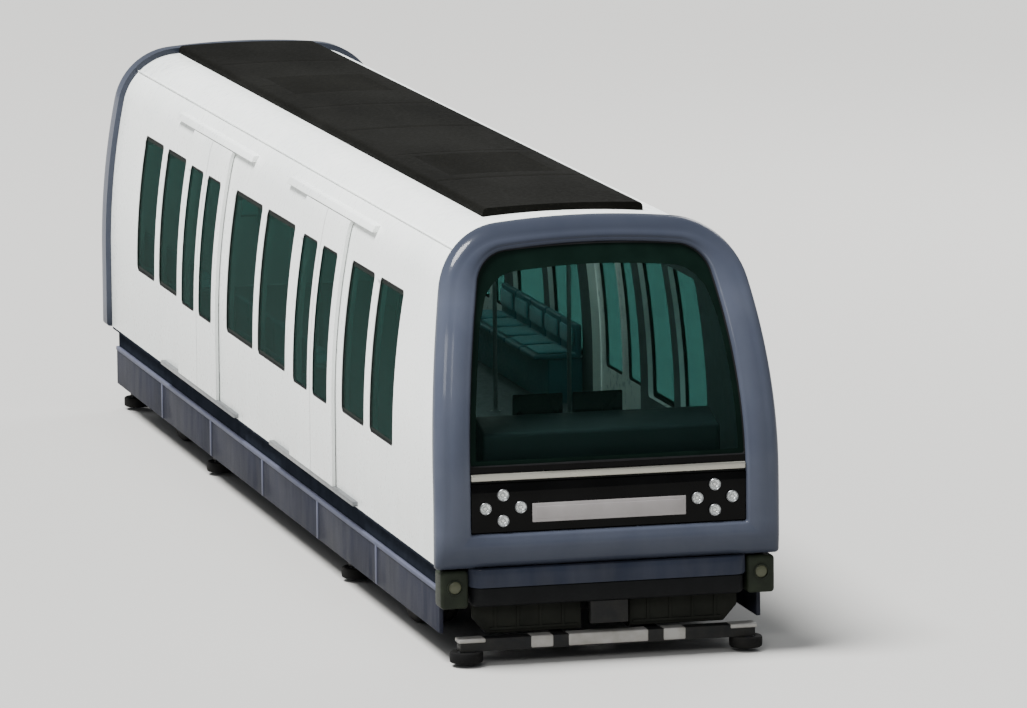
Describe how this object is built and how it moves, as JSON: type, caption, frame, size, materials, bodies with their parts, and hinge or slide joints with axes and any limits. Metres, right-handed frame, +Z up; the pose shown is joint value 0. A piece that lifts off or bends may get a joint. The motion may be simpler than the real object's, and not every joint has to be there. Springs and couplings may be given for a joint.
{
  "type": "rubber-tyred light rail train car",
  "caption": "Rubber-tyred light rail train car with a slate hoop front, sliding door leaves, steered axles and side guide wheels.",
  "frame": {"origin": "on the running surface, under the middle of the car", "axes": "X across the car, +Y to the rear, +Z up; the hoop front faces -Y"},
  "size_m": [2.75, 13.55, 3.395],
  "materials": {
    "body_white": "gloss white paint",
    "hoop_slate": "satin slate-blue paint",
    "skirt_slate": "satin dark slate-blue paint",
    "roof_dark": "matte dark brown-grey, ribbed",
    "glazing": "dark green tinted glass",
    "lamp_black": "black with round clear lamps",
    "plate_grey": "light grey satin",
    "silver": "brushed silver",
    "undergear": "dark grey undergear paint",
    "floor_vinyl": "speckled grey vinyl",
    "seat_shell": "moulded teal seat",
    "pole_steel": "brushed steel tube",
    "tyre": "black rubber",
    "rim_steel": "grey steel",
    "guide_rubber": "black solid rubber tyre on a grey hub"
  },
  "bodies": {
    "car": {"side_wall_left": "body_white", "side_wall_right": "body_white", "roof_shell": "body_white", "rear_wall": "body_white", "front_hoop": "hoop_slate", "rear_hoop": "hoop_slate", "front_panel": "hoop_slate", "skirt_left": "skirt_slate", "skirt_right": "skirt_slate", "front_bumper": "skirt_slate", "roof_fairing": "roof_dark", "windscreen": "glazing", "window_glass_left_front": "glazing", "window_glass_left_middle": "glazing", "window_glass_left_rear": "glazing", "window_glass_right_front": "glazing", "window_glass_right_middle": "glazing", "window_glass_right_rear": "glazing", "lamp_band": "lamp_black", "front_plate": "plate_grey", "console": "plate_grey", "silver_strip": "silver", "underframe": "undergear", "coupler_front": "undergear", "coupler_rear": "undergear", "floor": "floor_vinyl", "bench_left_middle": "seat_shell", "bench_left_rear": "seat_shell", "bench_right_middle": "seat_shell", "bench_right_rear": "seat_shell", "grab_poles": "pole_steel"},
    "bogie_front": {"bogie_front": "undergear"},
    "bogie_rear": {"bogie_rear": "undergear"},
    "wheel_front_left": {"tyre_front_left": "tyre", "rim_front_left": "rim_steel"},
    "wheel_front_right": {"tyre_front_right": "tyre", "rim_front_right": "rim_steel"},
    "wheel_rear_left": {"tyre_rear_left": "tyre", "rim_rear_left": "rim_steel"},
    "wheel_rear_right": {"tyre_rear_right": "tyre", "rim_rear_right": "rim_steel"},
    "guide_wheel_front_left_a": {"guide_wheel_front_left_a": "guide_rubber"},
    "guide_wheel_front_left_b": {"guide_wheel_front_left_b": "guide_rubber"},
    "guide_wheel_front_right_a": {"guide_wheel_front_right_a": "guide_rubber"},
    "guide_wheel_front_right_b": {"guide_wheel_front_right_b": "guide_rubber"},
    "guide_wheel_rear_left_a": {"guide_wheel_rear_left_a": "guide_rubber"},
    "guide_wheel_rear_left_b": {"guide_wheel_rear_left_b": "guide_rubber"},
    "guide_wheel_rear_right_a": {"guide_wheel_rear_right_a": "guide_rubber"},
    "guide_wheel_rear_right_b": {"guide_wheel_rear_right_b": "guide_rubber"},
    "door_left_front_a": {"door_left_front_a": "body_white"},
    "door_left_front_b": {"door_left_front_b": "body_white"},
    "door_left_rear_a": {"door_left_rear_a": "body_white"},
    "door_left_rear_b": {"door_left_rear_b": "body_white"},
    "door_right_front_a": {"door_right_front_a": "body_white"},
    "door_right_front_b": {"door_right_front_b": "body_white"},
    "door_right_rear_a": {"door_right_rear_a": "body_white"},
    "door_right_rear_b": {"door_right_rear_b": "body_white"},
    "rear_door": {"rear_door": "body_white"}
  },
  "joints": [
    {"name": "steer_front", "type": "hinge", "parent": "car", "child": "bogie_front", "pos_m": [0, -4.775, 0.8], "axis": [0, 0, 1], "range_deg": [-6, 6]},
    {"name": "steer_rear", "type": "hinge", "parent": "car", "child": "bogie_rear", "pos_m": [0, 4.225, 0.8], "axis": [0, 0, 1], "range_deg": [-6, 6]},
    {"name": "roll_front_left", "type": "hinge", "parent": "bogie_front", "child": "wheel_front_left", "pos_m": [-0.95, -4.775, 0.475], "axis": [1, 0, 0], "continuous": true},
    {"name": "roll_front_right", "type": "hinge", "parent": "bogie_front", "child": "wheel_front_right", "pos_m": [0.95, -4.775, 0.475], "axis": [1, 0, 0], "continuous": true},
    {"name": "roll_rear_left", "type": "hinge", "parent": "bogie_rear", "child": "wheel_rear_left", "pos_m": [-0.95, 4.225, 0.475], "axis": [1, 0, 0], "continuous": true},
    {"name": "roll_rear_right", "type": "hinge", "parent": "bogie_rear", "child": "wheel_rear_right", "pos_m": [0.95, 4.225, 0.475], "axis": [1, 0, 0], "continuous": true},
    {"name": "guide_front_left_a", "type": "hinge", "parent": "bogie_front", "child": "guide_wheel_front_left_a", "pos_m": [-1.12, -6.625, 0.075], "axis": [0, 0, 1], "continuous": true},
    {"name": "guide_front_left_b", "type": "hinge", "parent": "bogie_front", "child": "guide_wheel_front_left_b", "pos_m": [-1.12, -2.925, 0.075], "axis": [0, 0, 1], "continuous": true},
    {"name": "guide_front_right_a", "type": "hinge", "parent": "bogie_front", "child": "guide_wheel_front_right_a", "pos_m": [1.12, -6.625, 0.075], "axis": [0, 0, 1], "continuous": true},
    {"name": "guide_front_right_b", "type": "hinge", "parent": "bogie_front", "child": "guide_wheel_front_right_b", "pos_m": [1.12, -2.925, 0.075], "axis": [0, 0, 1], "continuous": true},
    {"name": "guide_rear_left_a", "type": "hinge", "parent": "bogie_rear", "child": "guide_wheel_rear_left_a", "pos_m": [-1.12, 2.375, 0.075], "axis": [0, 0, 1], "continuous": true},
    {"name": "guide_rear_left_b", "type": "hinge", "parent": "bogie_rear", "child": "guide_wheel_rear_left_b", "pos_m": [-1.12, 6.075, 0.075], "axis": [0, 0, 1], "continuous": true},
    {"name": "guide_rear_right_a", "type": "hinge", "parent": "bogie_rear", "child": "guide_wheel_rear_right_a", "pos_m": [1.12, 2.375, 0.075], "axis": [0, 0, 1], "continuous": true},
    {"name": "guide_rear_right_b", "type": "hinge", "parent": "bogie_rear", "child": "guide_wheel_rear_right_b", "pos_m": [1.12, 6.075, 0.075], "axis": [0, 0, 1], "continuous": true},
    {"name": "slide_left_front", "type": "slide", "parent": "car", "child": "door_left_front_a", "axis": [0, -1, 0], "range_m": [0, 0.74]},
    {"name": "slide_left_front_b", "type": "slide", "parent": "car", "child": "door_left_front_b", "axis": [0, 1, 0], "range_m": [0, 0.74]},
    {"name": "slide_left_rear", "type": "slide", "parent": "car", "child": "door_left_rear_a", "axis": [0, -1, 0], "range_m": [0, 0.74]},
    {"name": "slide_left_rear_b", "type": "slide", "parent": "car", "child": "door_left_rear_b", "axis": [0, 1, 0], "range_m": [0, 0.74]},
    {"name": "slide_right_front", "type": "slide", "parent": "car", "child": "door_right_front_a", "axis": [0, -1, 0], "range_m": [0, 0.74]},
    {"name": "slide_right_front_b", "type": "slide", "parent": "car", "child": "door_right_front_b", "axis": [0, 1, 0], "range_m": [0, 0.74]},
    {"name": "slide_right_rear", "type": "slide", "parent": "car", "child": "door_right_rear_a", "axis": [0, -1, 0], "range_m": [0, 0.74]},
    {"name": "slide_right_rear_b", "type": "slide", "parent": "car", "child": "door_right_rear_b", "axis": [0, 1, 0], "range_m": [0, 0.74]},
    {"name": "rear_door_hinge", "type": "hinge", "parent": "car", "child": "rear_door", "pos_m": [-0.374, 6.24, 1.1], "axis": [0, 0, 1], "range_deg": [0, 100]}
  ],
  "couplings": [
    {"joint": "slide_left_front_b", "follows": "slide_left_front", "ratio": 1},
    {"joint": "slide_left_rear_b", "follows": "slide_left_rear", "ratio": 1},
    {"joint": "slide_right_front_b", "follows": "slide_right_front", "ratio": 1},
    {"joint": "slide_right_rear_b", "follows": "slide_right_rear", "ratio": 1}
  ]
}
